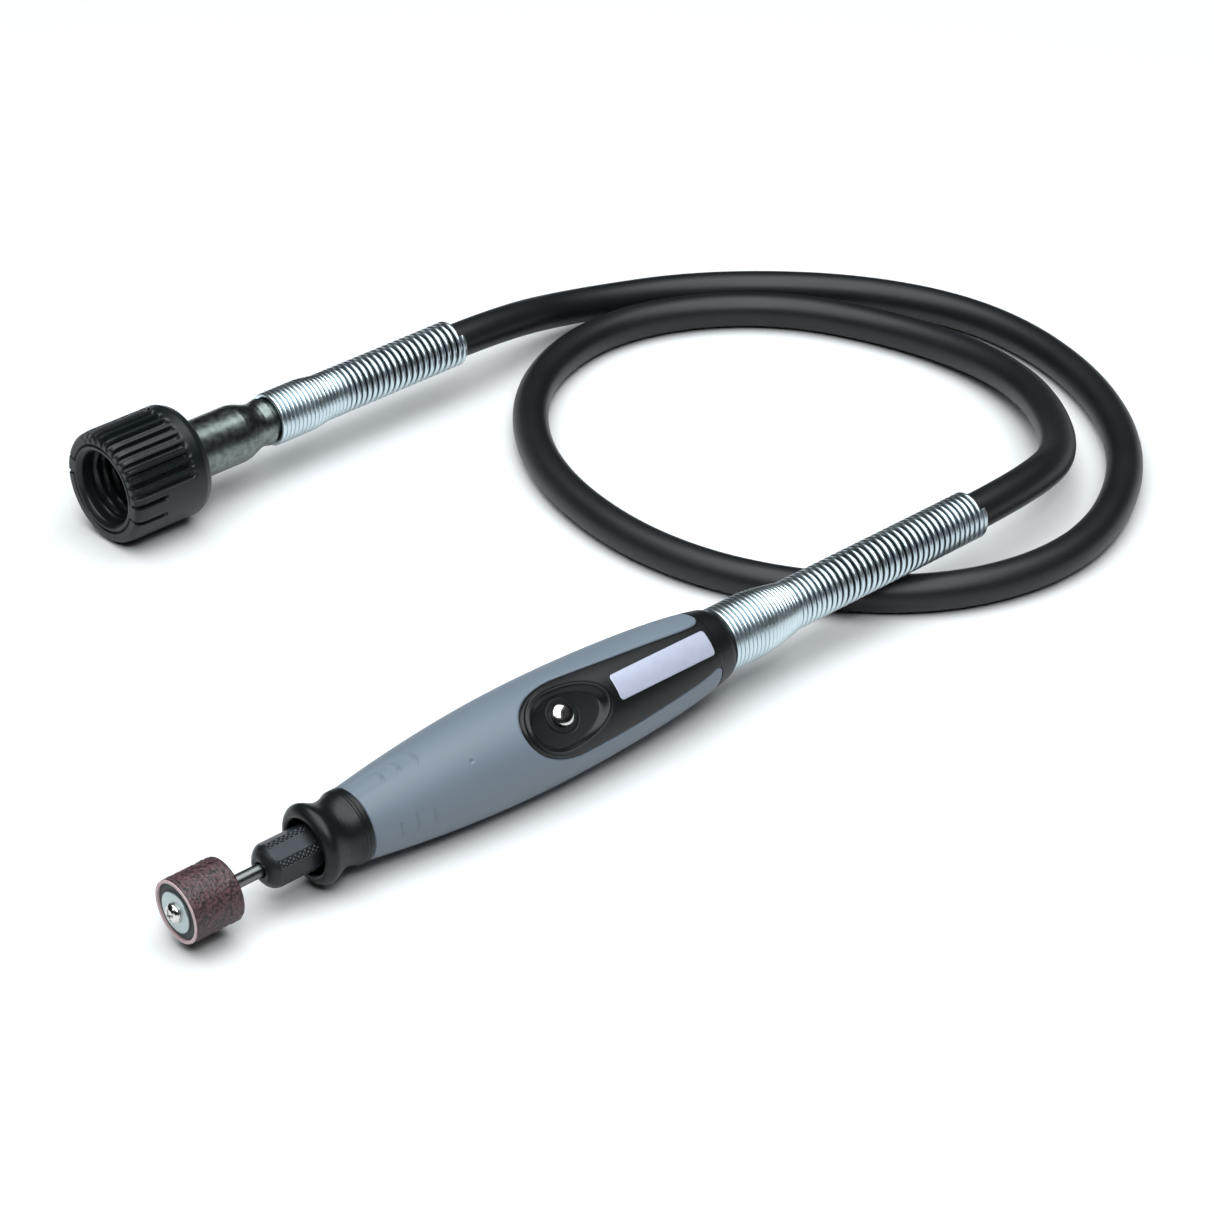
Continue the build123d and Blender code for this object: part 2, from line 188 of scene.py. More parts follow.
# %% [markdown]
# ## Finishes
# Every finish starts from one helper: a Principled shader whose colour wanders a little between two
# shades with a noise in Object coordinates, so that it stays put on the piece, and whose surface gets
# a fine bump from a second noise. Constants such as metal and sheen sit on the shader itself.

# %% Finish helper
def finish(name, dark, light, rough, metal=0.0, spots=60.0, grain=900.0, bump=0.02, rough_range=0.08,
           sheen=0.0, specular=0.5, contrast=1.0):
    """A node material: colour = mix(dark, light, share), share = 0.5 + contrast times (noise - 0.5), kept
    between 0 and 1. Roughness = rough +- range, and the bump comes from the grain."""
    material = bpy.data.materials.new(name)
    material.use_nodes = True
    tree = material.node_tree
    tree.nodes.clear()
    add, link = tree.nodes.new, tree.links.new
    out, shader = add("ShaderNodeOutputMaterial"), add("ShaderNodeBsdfPrincipled")
    place = add("ShaderNodeTexCoord")
    patches, fine = add("ShaderNodeTexNoise"), add("ShaderNodeTexNoise")
    colour, level = add("ShaderNodeMix"), add("ShaderNodeMapRange")
    share = add("ShaderNodeMapRange")
    share.inputs["From Min"].default_value = 0.5 - 0.5 / contrast
    share.inputs["From Max"].default_value = 0.5 + 0.5 / contrast
    relief = add("ShaderNodeBump")
    colour.data_type = "RGBA"
    colour.inputs[6].default_value = (*dark, 1)
    colour.inputs[7].default_value = (*light, 1)
    patches.inputs["Scale"].default_value = spots
    patches.inputs["Detail"].default_value = 5
    fine.inputs["Scale"].default_value = grain
    fine.inputs["Detail"].default_value = 3
    level.inputs["To Min"].default_value = max(0.02, rough - rough_range)
    level.inputs["To Max"].default_value = min(1.0, rough + rough_range)
    relief.inputs["Strength"].default_value = 1.0
    relief.inputs["Distance"].default_value = bump * MM
    shader.inputs["Metallic"].default_value = metal
    shader.inputs["Sheen Weight"].default_value = sheen
    shader.inputs["Specular IOR Level"].default_value = specular
    for noise in (patches, fine):
        link(place.outputs["Object"], noise.inputs["Vector"])
    link(patches.outputs["Fac"], share.inputs["Value"])
    link(share.outputs["Result"], colour.inputs[0])
    link(patches.outputs["Fac"], level.inputs["Value"])
    link(fine.outputs["Fac"], relief.inputs["Height"])
    link(colour.outputs[2], shader.inputs["Base Color"])
    link(level.outputs["Result"], shader.inputs["Roughness"])
    link(relief.outputs["Normal"], shader.inputs["Normal"])
    link(shader.outputs["BSDF"], out.inputs["Surface"])
    return material


# %% [markdown]
# The mouldings are nylon with a fine spark-eroded grain. The grip is a soft elastomer, blue-grey and
# matte. The wires are bright zinc plate, the ferrule a blotchier plate, the chuck is black oxide.

# %% Finishes
black_moulding = finish("black_moulding", (0.0020, 0.0032, 0.0036), (0.0050, 0.0068, 0.0072), 0.38,
                        spots=90, grain=2600, bump=0.012, rough_range=0.05, specular=0.30)
nut_moulding = finish("nut_moulding", (0.0030, 0.0050, 0.0060), (0.0060, 0.0096, 0.0108), 0.38,
                      spots=110, grain=2200, bump=0.012, rough_range=0.06, specular=0.34)
grip_rubber = finish("grip_rubber", (0.112, 0.142, 0.174), (0.128, 0.160, 0.194), 0.55,
                     spots=35, grain=3200, bump=0.010, rough_range=0.05, sheen=0.08)
hose_rubber = finish("hose_rubber", (0.0025, 0.0038, 0.0046), (0.0065, 0.0086, 0.0096), 0.44,
                     spots=45, grain=1500, bump=0.015, rough_range=0.06, specular=0.38)
spring_wire = finish("spring_wire", (0.48, 0.56, 0.60), (0.68, 0.77, 0.81), 0.30, metal=1.0,
                     spots=160, grain=2400, bump=0.004, rough_range=0.06)
ferrule_plate = finish("ferrule_plate", (0.050, 0.060, 0.060), (0.26, 0.30, 0.29), 0.32, metal=1.0,
                       contrast=1.3, spots=620, grain=1500, bump=0.012, rough_range=0.09)
machined_steel = finish("machined_steel", (0.32, 0.32, 0.32), (0.50, 0.50, 0.50), 0.30, metal=1.0,
                        spots=200, grain=3000, bump=0.004)
bearing_steel = finish("bearing_steel", (0.50, 0.50, 0.51), (0.64, 0.64, 0.65), 0.16, metal=1.0,
                       spots=150, grain=2500, bump=0.002, rough_range=0.04)
dark_steel = finish("dark_steel", (0.08, 0.085, 0.09), (0.20, 0.21, 0.20), 0.32, metal=1.0,
                    spots=260, grain=2600, bump=0.006, rough_range=0.1)
black_oxide = finish("black_oxide", (0.010, 0.013, 0.016), (0.028, 0.034, 0.040), 0.38, metal=0.6,
                     spots=300, grain=2500, bump=0.006, rough_range=0.08)
drum_rubber = finish("drum_rubber", (0.016, 0.022, 0.022), (0.028, 0.036, 0.036), 0.62,
                     spots=150, grain=1700, bump=0.02)
zinc_washer = finish("zinc_washer", (0.36, 0.43, 0.43), (0.50, 0.57, 0.56), 0.40, metal=0.85,
                     spots=240, grain=2600, bump=0.006)
polished_steel = finish("polished_steel", (0.56, 0.55, 0.53), (0.72, 0.71, 0.69), 0.17, metal=1.0,
                        spots=180, grain=2800, bump=0.002, rough_range=0.04)
plate_finish = finish("plate_finish", (0.36, 0.385, 0.49), (0.43, 0.455, 0.56), 0.42, metal=0.15,
                      spots=420, grain=2600, bump=0.006)
core_wire = finish("core_wire", (0.12, 0.115, 0.11), (0.27, 0.26, 0.25), 0.38, metal=1.0,
                   spots=500, grain=1400, bump=0.05)
bronze = finish("bronze", (0.28, 0.17, 0.08), (0.42, 0.27, 0.13), 0.42, metal=1.0,
                spots=600, grain=2000, bump=0.01)
print("finishes", len(bpy.data.materials))

# %% [markdown]
# ## Floor, light and camera
# The object lies on a plain pale floor under one very large soft light, so that the round pieces carry a
# broad highlight on top and darker flanks. A small lamp in front adds a crisper glint. The sky is dim,
# and dimmest near the horizon, which gives the bare metal something dark to reflect.

# %% Floor
floor_finish = finish("floor_finish", (0.66, 0.665, 0.67), (0.675, 0.68, 0.685), 0.8, spots=3, grain=60,
                      bump=0.0, specular=0.1)
side = np.array([-4.0, 4.0])
floor_points = np.stack([*np.meshgrid(side, side), np.full((2, 2), -0.0002)], -1)
floor_mesh = bpy.data.meshes.new("floor")
floor_mesh.from_pydata(floor_points.reshape(-1, 3).tolist(), [], [(0, 1, 3, 2)])
floor_mesh.materials.append(floor_finish)
floor = bpy.data.objects.new("floor", floor_mesh)
bpy.context.scene.collection.objects.link(floor)


# %% Lights and sky
def soft_light(name, place, aim, size, power, colour=(1, 1, 1)):
    """A square area light at a place, turned toward its aim."""
    lamp = bpy.data.lights.new(name, "AREA")
    lamp.size, lamp.energy, lamp.color = size, power, colour
    light = bpy.data.objects.new(name, lamp)
    light.location = place
    light.rotation_euler = (Vector(aim) - Vector(place)).to_track_quat("-Z", "Y").to_euler()
    bpy.context.scene.collection.objects.link(light)
    return light


soft_light("overhead", (-0.10, -0.15, 1.5), (0.05, 0.0, 0.0), 2.2, 64, (0.94, 0.98, 1.0))
soft_light("key", (-0.6, -0.9, 1.2), (0.02, -0.02, 0.0), 0.25, 4)

world = bpy.data.worlds.new("studio")
world.use_nodes = True
sky, sky_out = world.node_tree.nodes.new, world.node_tree.nodes
direction, split, ramp = sky("ShaderNodeTexCoord"), sky("ShaderNodeSeparateXYZ"), sky("ShaderNodeMapRange")
ramp.inputs["From Min"].default_value = 0.0
ramp.inputs["From Max"].default_value = 0.9
ramp.inputs["To Min"].default_value = 0.06
ramp.inputs["To Max"].default_value = 0.32
world.node_tree.links.new(direction.outputs["Generated"], split.inputs[0])
world.node_tree.links.new(split.outputs["Z"], ramp.inputs["Value"])
world.node_tree.links.new(ramp.outputs["Result"], sky_out["Background"].inputs["Strength"])
bpy.context.scene.world = world
bpy.context.scene.view_settings.view_transform = "Standard"

# %% Camera
camera_data = bpy.data.cameras.new("camera")
camera_data.lens, camera_data.sensor_width = 116.2, 36.0
camera = bpy.data.objects.new("camera", camera_data)
camera.location = (-0.4884, -0.6418, 0.4952)
camera.rotation_euler = Vector((0.5583, 0.6445, -0.5225)).to_track_quat("-Z", "Y").to_euler()
bpy.context.scene.collection.objects.link(camera)
bpy.context.scene.camera = camera

# %% [markdown]
# ## The hose and its core
# The hose is an extruded rubber tube, stiff enough to lie in wide loops. It leaves the motor's spring
# straight, makes one and three quarter turns on the bench and enters the handpiece's spring straight.
# A smooth spline with a round bevel is the natural way to make it, because its control points are the
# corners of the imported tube's route. The core inside is wound wire, so it is a tube whose radius waves
# along a helix, carried along the points that the same spline gives.

# %% Hose
HOSE_R, CORE_R = 4.7, 1.9
HOSE_ROUTE = [(0.129, 0.0855, 0.007), (0.168, 0.0735, 0.0047), (0.200, 0.042, 0.0047),
              (0.214, 0.005, 0.0047), (0.206, -0.038, 0.0047), (0.181, -0.074, 0.0047),
              (0.141, -0.095, 0.0047), (0.100, -0.087, 0.0047), (0.070, -0.054, 0.0047),
              (0.0595, -0.015, 0.0047), (0.068, 0.030, 0.0047), (0.096, 0.064, 0.0047),
              (0.135, 0.0745, 0.0047), (0.173, 0.055, 0.0047), (0.192, 0.015, 0.0047),
              (0.191, -0.026, 0.0075), (0.166, -0.064, 0.0125)]
route = np.vstack([put([(108.1, 0, 0), (130, 0, 0)], MOTOR), HOSE_ROUTE,
                   put([(224, 0, 0), (198, 0, 0)], HAND)])


def route_curve(name, bevel):
    """A NURBS curve of order 3 through the ends of the route, drawn toward its inner corners."""
    curve = bpy.data.curves.new(name, "CURVE")
    curve.dimensions = "3D"
    curve.resolution_u = curve.render_resolution_u = 14
    curve.bevel_depth, curve.bevel_resolution = bevel, 10
    curve.use_fill_caps = True
    spline = curve.splines.new("NURBS")
    spline.points.add(len(route) - 1)
    spline.points.foreach_set("co", np.column_stack([route, np.ones(len(route))]).ravel())
    spline.order_u = 3
    spline.use_endpoint_u = True
    return bpy.data.objects.new(name, curve)


hose = route_curve("hose_free_length", HOSE_R * MM)
hose.data.materials.append(hose_rubber)
bpy.context.scene.collection.objects.link(hose)
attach(hose, "root")
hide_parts("hose_sheath")


# %% Core
def line_points(curve_object):
    """Points of a curve with no bevel, in order, as an array."""
    mesh = bpy.data.meshes.new_from_object(curve_object)
    points = np.zeros(len(mesh.vertices) * 3)
    mesh.vertices.foreach_get("co", points)
    return points.reshape(-1, 3)


def along(points, spacing):
    """The same line with points a fixed spacing apart, and the distance of each from the start."""
    run = np.concatenate([[0], np.cumsum(np.linalg.norm(np.diff(points, axis=0), axis=1))])
    even = np.linspace(0, run[-1], int(run[-1] / spacing) + 1)
    return np.column_stack([np.interp(even, run, points[:, axis]) for axis in range(3)]), even


centre_line = line_points(route_curve("core_line", 0.0))
line, distance = along(centre_line, 0.0011)
ahead = np.gradient(line, axis=0)
ahead /= np.linalg.norm(ahead, axis=1)[:, None]
sideways = np.cross(ahead, (0.0, 0.0, 1.0))
sideways /= np.linalg.norm(sideways, axis=1)[:, None]
upward = np.cross(sideways, ahead)
turn = np.linspace(0, 2 * math.pi, 15)
lay_of_wire = np.cos(2 * (turn[None, :] - 2 * math.pi * distance[:, None] / 0.0088))
core_radius = (CORE_R - 0.12 + 0.12 * lay_of_wire) * MM
core_grid = (line[:, None, :] + core_radius[..., None] * (np.cos(turn)[None, :, None] * sideways[:, None, :]
             + np.sin(turn)[None, :, None] * upward[:, None, :]))
core_grid = np.concatenate([np.repeat(line[:1, None], 15, 1), core_grid, np.repeat(line[-1:, None], 15, 1)])
core = make_piece("core_free_length", [core_grid], "root", core_wire, ["flex_core"], angle=70)
print("free hose", round(float(distance[-1]), 4), "m")

# %% [markdown]
# ## The handpiece body
# The body swells from the nose to the lock button and narrows again to the rear. Its radius depends
# only on the distance from the nose, so one smooth polynomial through a few measured radii gives it.
# The black deck lies in that surface like an inlay: an egg nose, then straight edges that draw in, and
# rounded corners at the rear. The grip and the deck share that one outline, so they meet exactly.

# %% Body radius and deck outline
stations = np.array([(12.8, 8.65), (16.5, 9.12), (27, 10.55), (41, 11.9), (52.9, 12.55), (63, 12.85),
                     (76, 12.65), (88, 12.15), (105, 10.7), (113, 9.65), (118.3, 8.5)])
body_curve = np.polynomial.Polynomial.fit(stations[:, 0], stations[:, 1], 6)
misfit = np.abs(body_curve(stations[:, 0]) - stations[:, 1]).max()
print("largest misfit of the body radius", round(float(misfit), 3))
DECK_FRONT, DECK_WIDEST, GRIP_FRONT, GRIP_REAR = 54.3, 69.0, 12.8, 113.0
HALF_WIDE, CORNER = math.radians(45.5), 2.6


def deck_edge(s):
    """Half angle of the deck at s: a quarter ellipse to its widest point, then a slow taper, and a
    quarter circle outward over the last few millimetres, where the grip's corner is rounded."""
    front = HALF_WIDE * np.sqrt(np.clip(1 - ((DECK_WIDEST - s) / (DECK_WIDEST - DECK_FRONT)) ** 2, 0, 1))
    rear = HALF_WIDE - math.radians(10.5) * (s - DECK_WIDEST) / 42
    into = np.clip((s - (GRIP_REAR - CORNER)) / CORNER, 0, 1)
    corner = CORNER / 9.8 * (1 - np.sqrt(1 - into ** 2))
    return np.where(s < DECK_WIDEST, front, rear) + corner


def edge_distance(s, angle):
    """Distance in millimetres from a point to the deck outline, positive inside: (1 - reach) divided by
    the slope of reach, where reach is 1 on the outline."""
    long = DECK_WIDEST - DECK_FRONT
    half = np.where(s < DECK_WIDEST, HALF_WIDE, deck_edge(s))
    ahead_of, beside_it = np.clip(DECK_WIDEST - s, 0, None) / long, angle / half
    reach = np.sqrt(ahead_of ** 2 + beside_it ** 2) + 1e-8
    slope = np.sqrt((ahead_of / long) ** 2 + (beside_it / (half * body_curve(s))) ** 2) + 1e-9
    return (1 - reach) * reach / slope


def lean(s, angle):
    """The deck does not sit quite square on the body: its outline drifts to one side toward the rear and
    comes back at the very end. The drift fades to nothing at the seam underneath."""
    drift = np.radians(np.interp(s, [54, 60, 71, 79, 87, 100, 106, 109.2, 112, 114],
                                 [-2, -3.5, -6.5, -8.5, -9.5, -9.5, -9, -7, -3, 0]))
    return angle + drift * (1 - np.abs(angle) / math.pi)


def on_body(s, angle, height):
    """Points at a height above the body's surface."""
    return put(polar(s, body_curve(s) + height, angle), HAND)


# %% [markdown]
# ## The soft grip
# The grip is a soft elastomer moulded over the body. Its sheet starts at the deck outline and wraps
# round the back. Each column of the grid is a straight line on the unrolled body, from the outline to
# the front edge or to the seam underneath. Toward the nose, where finger and thumb hold it, two shallow
# pads are pressed in: three raised crescents on one side, three fine lines on the other.

# %% Grip relief
def pad_relief(s, angle):
    """Height of the finger pads: a shallow oval dish with three curved ridges on the far side, and three
    narrow grooves on the near side. Angles are in degrees from the middle of the deck."""
    degrees = np.degrees(angle)
    oval = np.sqrt(((s - 18.0) / 15.5) ** 2 + ((degrees - 43) / 21) ** 2)
    height = -0.25 * step_between(1 - oval, 0.0, 0.6)
    ends = np.exp(-((degrees - 38) / 11) ** 4)
    for middle in (19.7, 24.1, 28.6):
        crest = middle + 0.9 * (1 - ((degrees - 38) / 13) ** 2)
        height = height + 0.38 * ends * np.exp(-((s - crest) / 0.38) ** 2)
    for middle, low, high in ((19.4, -55, -32), (23.5, -52, -26), (27.9, -52, -31)):
        ends = step_between(degrees, low - 1, low + 2) * step_between(-degrees, -high - 1, 2 - high)
        height = height - 0.34 * ends * np.exp(-((s - middle) / 0.30) ** 2)
    return height - 0.35 * np.exp(-(((s - 40.0) / 0.40) ** 2 + ((angle + 0.02) * 11.9 / 0.40) ** 2))


# %% Soft grip
def grip_half():
    """Points (s, angle) of one half of the grip: columns run from the deck outline outward."""
    sweep = np.linspace(0, 1, 121)
    nose_in = np.stack([DECK_WIDEST - (DECK_WIDEST - DECK_FRONT) * np.cos(sweep * math.pi / 2),
                        HALF_WIDE * np.sin(sweep * math.pi / 2)], -1)
    front_angle = np.interp(sweep, [0, 0.78, 1], np.radians([0, 78, 180]))
    nose_out = np.stack([np.full(121, GRIP_FRONT), front_angle], -1)
    straight = np.linspace(DECK_WIDEST, GRIP_REAR - CORNER, 34)[1:]
    bend = GRIP_REAR - CORNER + CORNER * np.sin(np.linspace(0, math.pi / 2, 12))[1:]
    side_s = np.concatenate([straight, bend])
    side_in = np.stack([side_s, deck_edge(side_s)], -1)
    share = (side_s - DECK_WIDEST) / (GRIP_REAR - DECK_WIDEST)
    side_out = np.stack([GRIP_FRONT + share * (GRIP_REAR - GRIP_FRONT), np.full(len(side_s), math.pi)], -1)
    inner, outer = np.vstack([nose_in, side_in]), np.vstack([nose_out, side_out])
    rows = np.concatenate([[0, .004, .009, .015, .024, .04, .07, .11, .16, .22, .28],
                           np.linspace(0.325, 0.365, 14), np.linspace(0.39, 1, 92)])[:, None, None]
    return inner * (1 - rows) + outer * rows


half = grip_half()
mirror = half[:, :0:-1] * np.array([1, -1])
sheet = np.concatenate([mirror, half], 1)
s_grip, angle_grip = sheet[..., 0], sheet[..., 1]
beside = -edge_distance(s_grip, angle_grip)
lip = -0.32 * np.clip(1 - beside / 0.55, 0, 1) ** 2 * (beside < 3)
front_lip = -0.30 * np.clip(1 - (s_grip - GRIP_FRONT) / 0.6, 0, 1) ** 2
rear_lip = -0.32 * np.clip(1 - (GRIP_REAR - s_grip) / 0.55, 0, 1) ** 2
angle_grip = lean(s_grip, angle_grip)
grip_points = on_body(s_grip, angle_grip, np.maximum(lip + rear_lip, -0.32) + front_lip
                      + pad_relief(s_grip, angle_grip))
grip = make_piece("grip_cover", [grip_points], "root", grip_rubber, ["soft_grip"])
add_wall(grip, 1.2)

# %% [markdown]
# ## The black moulding
# The hard body shows as the deck and the rear collar. On the deck an egg-shaped dish surrounds the lock
# button, so that a finger finds it without looking. Its rim and the deck's front edge are two beads
# with a small valley between. The dish is a height over the body's surface: outside its rim the rim's
# bead, inside it a wall that drops to an almost flat floor.

# %% Deck relief
BUTTON_S = 66.6


def egg(s, angle):
    """Size of the egg through a point: 1 on the rim, 0 in the middle, blunt in front."""
    length = np.where(s < 65.5, 8.9, 12.9)
    return np.sqrt(((s - 65.5) / length) ** 2 + ((angle + math.radians(4)) * body_curve(s) / 7.2) ** 2)


def deck_height(s, plain, angle):
    """Height over the body's surface: edge lip, front bead, dish rim and the dish itself. The plain angle
    measures from the outline, the true angle from the button."""
    inside = edge_distance(s, plain)
    size = egg(s, angle)
    near_front = step_between(-s, -68, -58)
    height = -0.35 * np.clip(1 - inside / 0.6, 0, 1) ** 2
    height = height + 0.20 * near_front * np.exp(-((inside - 0.85) / 0.35) ** 2)
    height = height + (0.16 + 0.14 * near_front) * np.exp(-((size - 1.02) / 0.045) ** 2)
    floor_z = 10.85 - 0.25 * (1 - np.clip(size, 0, 1) ** 2)
    to_floor = floor_z / np.cos(angle) - body_curve(s)
    return height + (to_floor - height) * step_between(1 - size, 0.0, 0.15)


# %% Housing
rows_nose = DECK_WIDEST - (DECK_WIDEST - DECK_FRONT) * np.cos(np.linspace(0.02, 1, 64) * math.pi / 2)
rows_rear = np.concatenate([np.linspace(DECK_WIDEST, 80, 86)[1:], np.linspace(80, 105, 30)[1:],
                            np.linspace(105, 110.4, 24)[1:],
                            np.linspace(110.4, GRIP_REAR, 10)[1:]])
s_rows = np.concatenate([[DECK_FRONT], rows_nose, rows_rear])[:, None]
spread = np.linspace(-1, 1, 121)[None, :]
across = np.sign(spread) * (1 - (1 - np.abs(spread)) ** 1.15)
plain_angle = across * deck_edge(s_rows)
s_deck = np.broadcast_to(s_rows, plain_angle.shape)
true_angle = lean(s_deck, plain_angle)
deck_points = on_body(s_deck, true_angle, deck_height(s_deck, plain_angle, true_angle))
deck = make_piece("deck", [deck_points], "root", black_moulding)
work = bmesh.new()
work.from_mesh(deck.data)
button_axis = put([(BUTTON_S, 0, 0)], HAND)[0]
lid = [face for face in work.faces
       if np.linalg.norm(np.cross(np.array(face.calc_center_median()) - button_axis, HAND[3])) < 4.22 * MM]
bmesh.ops.delete(work, geom=lid, context="FACES")
work.to_mesh(deck.data)
work.free()
add_wall(deck, 1.4)

collar_s = np.linspace(GRIP_REAR - 0.02, 117.2, 12)
collar_outline = ([(s, float(body_curve(s))) for s in collar_s]
                  + [(117.9, 8.5), (118.2, 8.33), (118.3, 8.1), (118.3, 7.62), (94.0, 7.62),
                     (94.0, 6.5), (88.0, 6.5), (88.0, 5.6), (71.5, 5.6), (71.5, 9.1), (80.0, 9.4),
                     (88.0, 10.5), (105.0, 9.2), (GRIP_REAR - 0.02, 8.2)])
front_outline = [(9.5, 6.5), (9.5, 7.48), (12.8, 7.48), (13.4, 7.2), (27.0, 8.7), (41.0, 10.3), (53.0, 9.9),
                 (61.5, 9.1), (61.5, 5.6), (24.0, 5.6), (24.0, 6.5)]
inner_body = make_piece("housing_body", [lathe(collar_outline, HAND, 120), lathe(front_outline, HAND)],
                        "root", black_moulding, angle=30)
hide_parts("housing")

# %% [markdown]
# ## Label plate, lock button and bush
# A thin metallised plate is set flush in the deck. It carries no lettering here. The lock button is a
# polished steel pin with a domed head in a black bush. Both are turned about the deck's normal, so they
# get a local frame of their own whose x axis points out of the deck.

# %% Label plate
PLATE_FRONT, PLATE_REAR, PLATE_HALF, PLATE_CORNER = 81.3, 111.3, 3.2, 0.9
share = np.linspace(0, 1, 41)
ends = PLATE_CORNER * (1 - np.cos(np.linspace(0, math.pi / 2, 10)))
plate_s = np.concatenate([PLATE_FRONT + ends, PLATE_FRONT + PLATE_CORNER + share[1:-1]
                          * (PLATE_REAR - PLATE_FRONT - 2 * PLATE_CORNER), PLATE_REAR - ends[::-1]])
from_end = np.clip(PLATE_CORNER - np.minimum(plate_s - PLATE_FRONT, PLATE_REAR - plate_s), 0, None)
plate_half = PLATE_HALF - PLATE_CORNER + np.sqrt(PLATE_CORNER ** 2 - from_end ** 2)
plate_y = plate_half[:, None] * np.linspace(-1, 1, 31)[None, :]
rim = np.minimum(np.minimum(plate_s - PLATE_FRONT, PLATE_REAR - plate_s)[:, None],
                 plate_half[:, None] - np.abs(plate_y))
plate_s_grid = np.broadcast_to(plate_s[:, None], plate_y.shape)
plate_height = 0.14 - 0.08 * np.clip(1 - rim / 0.25, 0, 1) ** 2
plate_points = on_body(plate_s_grid, plate_y / body_curve(plate_s_grid), plate_height)
plate = make_piece("blank_plate", [plate_points], "root", plate_finish, ["label_plate"])
add_wall(plate, 0.5)

# %% Lock button, bush and spring
BUTTON = (HAND[0] + BUTTON_S * HAND[1], HAND[3], HAND[2], HAND[1])
dome = [(5.2, 0.0), (5.2, 1.2), (5.45, 1.4), (8.8, 1.4), (8.8, 3.3), (9.4, 3.3), (9.4, 2.7), (11.2, 2.7),
        (11.6, 2.58), (11.95, 2.15), (12.15, 1.5), (12.22, 0.9), (12.2, 0.4), (12.19, 0.0)]
make_piece("lock_button_pin", [lathe(dome, BUTTON, 72)], "lock_button", polished_steel,
           ["lock_button"], angle=32)
bush_outline = soften([(9.42, 2.82), (9.42, 4.2), (10.75, 4.2), (10.75, 2.82)], 0.14)
make_piece("button_bush_ring", [lathe(bush_outline, BUTTON, 72)], "root", black_moulding,
           ["button_bush"])


def coil(start, length_of_turns, wire, where, steps=30, sides=9):
    """A round wire wound about the local axis. Its centre line is (x, radius, turns) given as a table;
    the section is a circle in the plane through the axis, which is true for a fine pitch. Both ends
    close on their centres."""
    x, radius, turns = np.array(length_of_turns, float).T
    even = np.linspace(turns[0], turns[-1], int((turns[-1] - turns[0]) * steps) + 1)
    x, radius = np.interp(even, turns, x), np.interp(even, turns, radius)
    around = np.linspace(0, 2 * math.pi, sides + 1)
    size = np.full(len(even), wire / 2)
    order = np.concatenate([[0], np.arange(len(even)), [len(even) - 1]])
    size = np.concatenate([[0], size, [0]])
    centre_x, centre_r, phase = x[order], radius[order], start + 2 * math.pi * even[order]
    return put(polar(centre_x[:, None] + size[:, None] * np.cos(around),
                     centre_r[:, None] + size[:, None] * np.sin(around), phase[:, None]), where)


lock_table = [(6.4, 2.2, 0), (6.55, 2.2, 1), (8.5, 2.2, 4.5), (8.6, 2.2, 5.5)]
lock_coil = make_piece("lock_return_spring",
                       [coil(0, lock_table, 0.38, BUTTON, 24, 7)],
                       "root", bearing_steel, ["lock_spring"], angle=70)
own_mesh(lock_coil)

# %% [markdown]
# ## The nose cap
# A glossy black cap closes the front. Its flared lip keeps the fingers off the turning chuck, its waist
# gives them a place, and two fine rings mark where it meets the grip. It is a turned profile, and the
# corners of the profile are softened so that its curves read as one sweep.

# %% Nose cap
cap_outline = [(8.3, 5.0), (8.3, 6.6), (0.9, 6.6), (0.3, 6.85), (0.0, 7.4), (0.15, 8.1), (0.65, 8.8),
               (1.4, 9.35), (2.2, 9.52), (3.0, 9.3), (3.9, 8.88), (5.2, 8.25), (6.3, 7.92), (7.2, 7.84),
               (8.2, 7.92), (9.4, 8.22), (10.1, 8.55), (10.5, 8.72), (10.62, 8.52), (10.74, 8.72),
               (11.3, 8.74), (11.42, 8.54), (11.54, 8.74), (12.6, 8.74), (12.75, 8.55), (12.75, 7.5),
               (9.45, 7.5), (9.45, 5.0)]
make_piece("nose_cap_shell", [lathe(soften(cap_outline, 2.2, 5), HAND, 128)], "root", black_moulding,
           ["nose_cap"], angle=35)

# %% [markdown]
# ## The chuck nut
# The nut that closes the chuck is turned steel, blackened. Six flats take the wrench, and the round
# strips left between them are knurled for the fingers. The radius is the smaller of the turned profile
# and the hexagon. The knurl is the lower of two crossing saw-tooth ridges, and only shows on the strips.

# %% Chuck nut
def zigzag(value):
    """0 at whole numbers, 1 half-way between them."""
    return 1 - np.abs(2 * (value % 1) - 1)


def resample(outline, spacing):
    """The same closed outline with points an even distance apart."""
    outline = np.vstack([outline, outline[:1]])
    run = np.concatenate([[0], np.cumsum(np.linalg.norm(np.diff(outline, axis=0), axis=1))])
    even = np.linspace(0, run[-1], int(run[-1] / spacing))
    return np.column_stack([np.interp(even, run, outline[:, k]) for k in (0, 1)])


NUT_FLAT, NUT_TURN = 5.0, math.radians(-56 + 10)
nut_outside = np.array([(-11.9, 2.2), (-11.9, 2.9), (-11.6, 3.5), (-11.0, 4.3), (-10.4, 4.8), (-9.8, 5.15),
                        (-9.3, 5.3), (1.5, 5.3), (1.9, 5.0), (2.0, 4.6)])
run = np.concatenate([[0], np.cumsum(np.hypot(*np.diff(nut_outside, axis=0).T))])
even = np.linspace(0, run[-1], 126)
nut_x, nut_r = np.interp(even, run, nut_outside[:, 0]), np.interp(even, run, nut_outside[:, 1])
angle = np.linspace(0, 2 * math.pi, 301)[None, :]
from_flat = (angle - NUT_TURN + math.pi / 6) % (math.pi / 3) - math.pi / 6
hexagon = NUT_FLAT / np.cos(from_flat)
shape = np.minimum(nut_r[:, None], hexagon)
KNURL_ALONG, KNURL_AROUND = 1.3, 1.05
